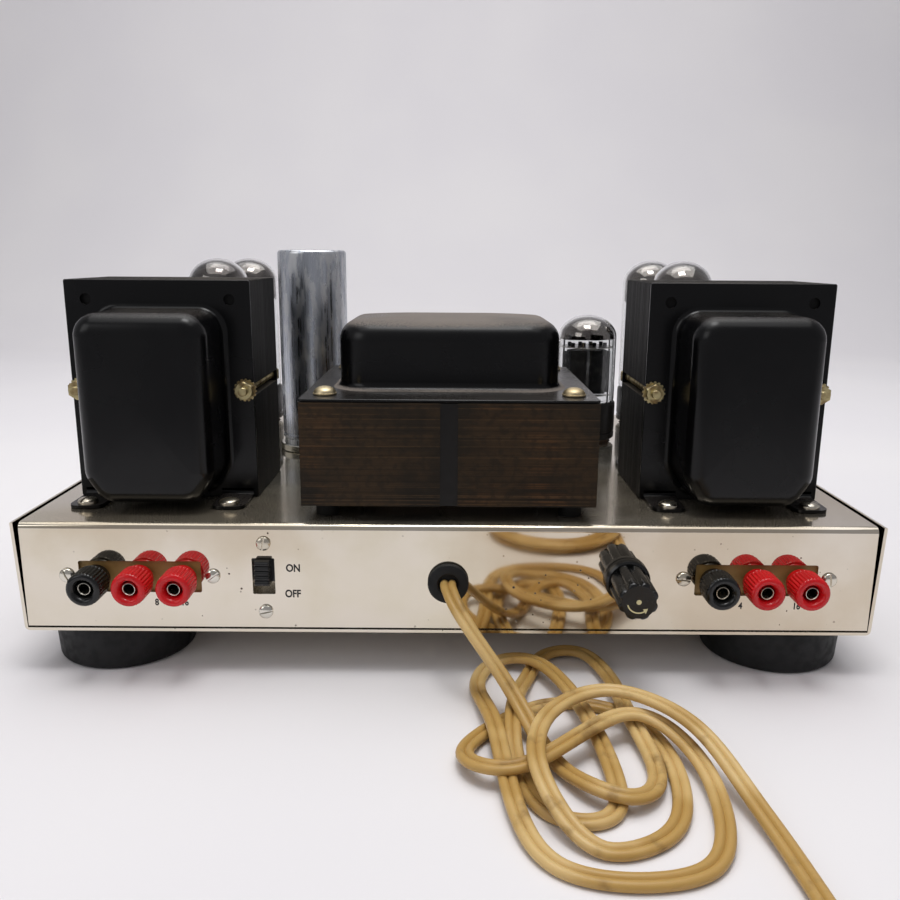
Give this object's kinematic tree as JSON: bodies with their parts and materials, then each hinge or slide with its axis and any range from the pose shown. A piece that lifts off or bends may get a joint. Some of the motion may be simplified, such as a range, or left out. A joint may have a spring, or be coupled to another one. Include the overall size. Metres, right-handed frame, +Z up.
{
  "type": "tube power amplifier",
  "caption": "Stereo vacuum-tube power amplifier: nickel-plated chassis on rubber feet, transformers along its terminal side, upright tubes and a filter can behind, mains lead in front.",
  "frame": {"origin": "on the floor under the middle of the amplifier's box, without its lead", "axes": "+Z up, +X to the right of someone who faces the speaker terminals, which look along -Y"},
  "size_m": [0.3376, 0.5017, 0.1658],
  "materials": {
    "nickel_plate": "bright nickel plate on steel with small dark pits and a warm cast",
    "rubber": "matte black moulded rubber",
    "rusted_iron": "stacked steel laminations, edges browned with rust",
    "black_iron": "stacked steel laminations dipped in black varnish",
    "copper_wire": "enamelled copper winding under brown paper, brass stands in for copper",
    "black_enamel": "black enamel on drawn steel, semi-gloss, dusty on top",
    "brass": "dull brass-plated fasteners",
    "aluminium": "drawn aluminium can, slightly dull",
    "tube_glass": "smoky glass over a dark base",
    "phenolic_board": "brown phenolic sheet",
    "green_board": "fibreglass board with a green mask",
    "switch_steel": "plated steel switch frame",
    "black_plastic": "black moulded plastic",
    "red_plastic": "red moulded plastic",
    "fuse_glass": "clear fuse glass with metal ends",
    "cord_vinyl": "tan vinyl, browned with age, a groove along its middle"
  },
  "bodies": {
    "amplifier": {"bottom_cover": "nickel_plate", "chassis": "nickel_plate", "cord": "cord_vinyl", "cord_bushing": "rubber", "cord_coil": "cord_vinyl", "driver_board": "green_board", "filter_can": "aluminium", "foot_left_far": "rubber", "foot_left_near": "rubber", "foot_right_far": "rubber", "foot_right_near": "rubber", "fuse_holder": "black_plastic", "input_jacks": "nickel_plate", "mains_switch_frame": "switch_steel", "output_bell_far_left": "black_enamel", "output_bell_far_right": "black_enamel", "output_bell_near_left": "black_enamel", "output_bell_near_right": "black_enamel", "output_bolt_left_left": "brass", "output_bolt_left_right": "brass", "output_bolt_right_left": "brass", "output_bolt_right_right": "brass", "output_coil_left": "copper_wire", "output_coil_right": "copper_wire", "output_core_left": "black_iron", "output_core_right": "black_iron", "plug": "black_plastic", "power_bell": "black_enamel", "power_bolt_left_far": "brass", "power_bolt_left_near": "brass", "power_bolt_right_far": "brass", "power_bolt_right_near": "brass", "power_coil": "copper_wire", "power_core": "rusted_iron", "socket_board_left": "phenolic_board", "socket_board_right": "phenolic_board", "terminal_board_left": "phenolic_board", "terminal_board_right": "phenolic_board"},
    "mains_switch_slider": {"mains_switch_slider": "black_plastic"},
    "fuse": {"fuse": "fuse_glass"},
    "fuse_cap": {"fuse_cap": "black_plastic"},
    "power_tube_left_near": {"power_tube_left_near": "tube_glass"},
    "power_tube_left_far": {"power_tube_left_far": "tube_glass"},
    "power_tube_right_near": {"power_tube_right_near": "tube_glass"},
    "power_tube_right_far": {"power_tube_right_far": "tube_glass"},
    "rectifier_tube": {"rectifier_tube": "tube_glass"},
    "driver_tube_left": {"driver_tube_left": "tube_glass"},
    "driver_tube_right": {"driver_tube_right": "tube_glass"},
    "post_rod_left_outer": {"post_rod_left_outer": "brass"},
    "post_cap_left_outer": {"post_cap_left_outer": "black_plastic"},
    "post_rod_left_middle": {"post_rod_left_middle": "brass"},
    "post_cap_left_middle": {"post_cap_left_middle": "red_plastic"},
    "post_rod_left_inner": {"post_rod_left_inner": "brass"},
    "post_cap_left_inner": {"post_cap_left_inner": "red_plastic"},
    "post_rod_right_outer": {"post_rod_right_outer": "brass"},
    "post_cap_right_outer": {"post_cap_right_outer": "red_plastic"},
    "post_rod_right_middle": {"post_rod_right_middle": "brass"},
    "post_cap_right_middle": {"post_cap_right_middle": "red_plastic"},
    "post_rod_right_inner": {"post_rod_right_inner": "brass"},
    "post_cap_right_inner": {"post_cap_right_inner": "black_plastic"}
  },
  "joints": [
    {"name": "mains_switch", "type": "slide", "parent": "amplifier", "child": "mains_switch_slider", "axis": [0, 0, 1], "range_m": [-0.0044, 0]},
    {"name": "fuse_pull", "type": "slide", "parent": "amplifier", "child": "fuse", "axis": [0, -1, 0], "range_m": [0, 0.04]},
    {"name": "fuse_cap_turn", "type": "hinge", "parent": "fuse", "child": "fuse_cap", "pos_m": [0.0695, -0.1234, 0.0408], "axis": [0, -1, 0], "range_deg": [0, 60]},
    {"name": "power_tube_left_near_lift", "type": "slide", "parent": "amplifier", "child": "power_tube_left_near", "axis": [0, 0, 1], "range_m": [0, 0.012]},
    {"name": "power_tube_left_far_lift", "type": "slide", "parent": "amplifier", "child": "power_tube_left_far", "axis": [0, 0, 1], "range_m": [0, 0.012]},
    {"name": "power_tube_right_near_lift", "type": "slide", "parent": "amplifier", "child": "power_tube_right_near", "axis": [0, 0, 1], "range_m": [0, 0.012]},
    {"name": "power_tube_right_far_lift", "type": "slide", "parent": "amplifier", "child": "power_tube_right_far", "axis": [0, 0, 1], "range_m": [0, 0.012]},
    {"name": "rectifier_tube_lift", "type": "slide", "parent": "amplifier", "child": "rectifier_tube", "axis": [0, 0, 1], "range_m": [0, 0.012]},
    {"name": "driver_tube_left_lift", "type": "slide", "parent": "amplifier", "child": "driver_tube_left", "axis": [0, 0, 1], "range_m": [0, 0.006]},
    {"name": "driver_tube_right_lift", "type": "slide", "parent": "amplifier", "child": "driver_tube_right", "axis": [0, 0, 1], "range_m": [0, 0.006]},
    {"name": "post_travel_left_outer", "type": "slide", "parent": "amplifier", "child": "post_rod_left_outer", "axis": [0, -1, 0], "range_m": [0, 0.004]},
    {"name": "post_turn_left_outer", "type": "hinge", "parent": "post_rod_left_outer", "child": "post_cap_left_outer", "pos_m": [-0.1368, -0.1214, 0.0403], "axis": [0, -1, 0], "range_deg": [0, 2060]},
    {"name": "post_travel_left_middle", "type": "slide", "parent": "amplifier", "child": "post_rod_left_middle", "axis": [0, -1, 0], "range_m": [0, 0.004]},
    {"name": "post_turn_left_middle", "type": "hinge", "parent": "post_rod_left_middle", "child": "post_cap_left_middle", "pos_m": [-0.12, -0.1214, 0.0403], "axis": [0, -1, 0], "range_deg": [0, 2060]},
    {"name": "post_travel_left_inner", "type": "slide", "parent": "amplifier", "child": "post_rod_left_inner", "axis": [0, -1, 0], "range_m": [0, 0.004]},
    {"name": "post_turn_left_inner", "type": "hinge", "parent": "post_rod_left_inner", "child": "post_cap_left_inner", "pos_m": [-0.1032, -0.1214, 0.0403], "axis": [0, -1, 0], "range_deg": [0, 2060]},
    {"name": "post_travel_right_outer", "type": "slide", "parent": "amplifier", "child": "post_rod_right_outer", "axis": [0, -1, 0], "range_m": [0, 0.004]},
    {"name": "post_turn_right_outer", "type": "hinge", "parent": "post_rod_right_outer", "child": "post_cap_right_outer", "pos_m": [0.1368, -0.1214, 0.0403], "axis": [0, -1, 0], "range_deg": [0, 2060]},
    {"name": "post_travel_right_middle", "type": "slide", "parent": "amplifier", "child": "post_rod_right_middle", "axis": [0, -1, 0], "range_m": [0, 0.004]},
    {"name": "post_turn_right_middle", "type": "hinge", "parent": "post_rod_right_middle", "child": "post_cap_right_middle", "pos_m": [0.12, -0.1214, 0.0403], "axis": [0, -1, 0], "range_deg": [0, 2060]},
    {"name": "post_travel_right_inner", "type": "slide", "parent": "amplifier", "child": "post_rod_right_inner", "axis": [0, -1, 0], "range_m": [0, 0.004]},
    {"name": "post_turn_right_inner", "type": "hinge", "parent": "post_rod_right_inner", "child": "post_cap_right_inner", "pos_m": [0.1032, -0.1214, 0.0403], "axis": [0, -1, 0], "range_deg": [0, 2060]}
  ],
  "couplings": [
    {"joint": "post_turn_left_outer", "follows": "post_travel_left_outer", "rad_per_m": 8976},
    {"joint": "post_turn_left_middle", "follows": "post_travel_left_middle", "rad_per_m": 8976},
    {"joint": "post_turn_left_inner", "follows": "post_travel_left_inner", "rad_per_m": 8976},
    {"joint": "post_turn_right_outer", "follows": "post_travel_right_outer", "rad_per_m": 8976},
    {"joint": "post_turn_right_middle", "follows": "post_travel_right_middle", "rad_per_m": 8976},
    {"joint": "post_turn_right_inner", "follows": "post_travel_right_inner", "rad_per_m": 8976}
  ]
}
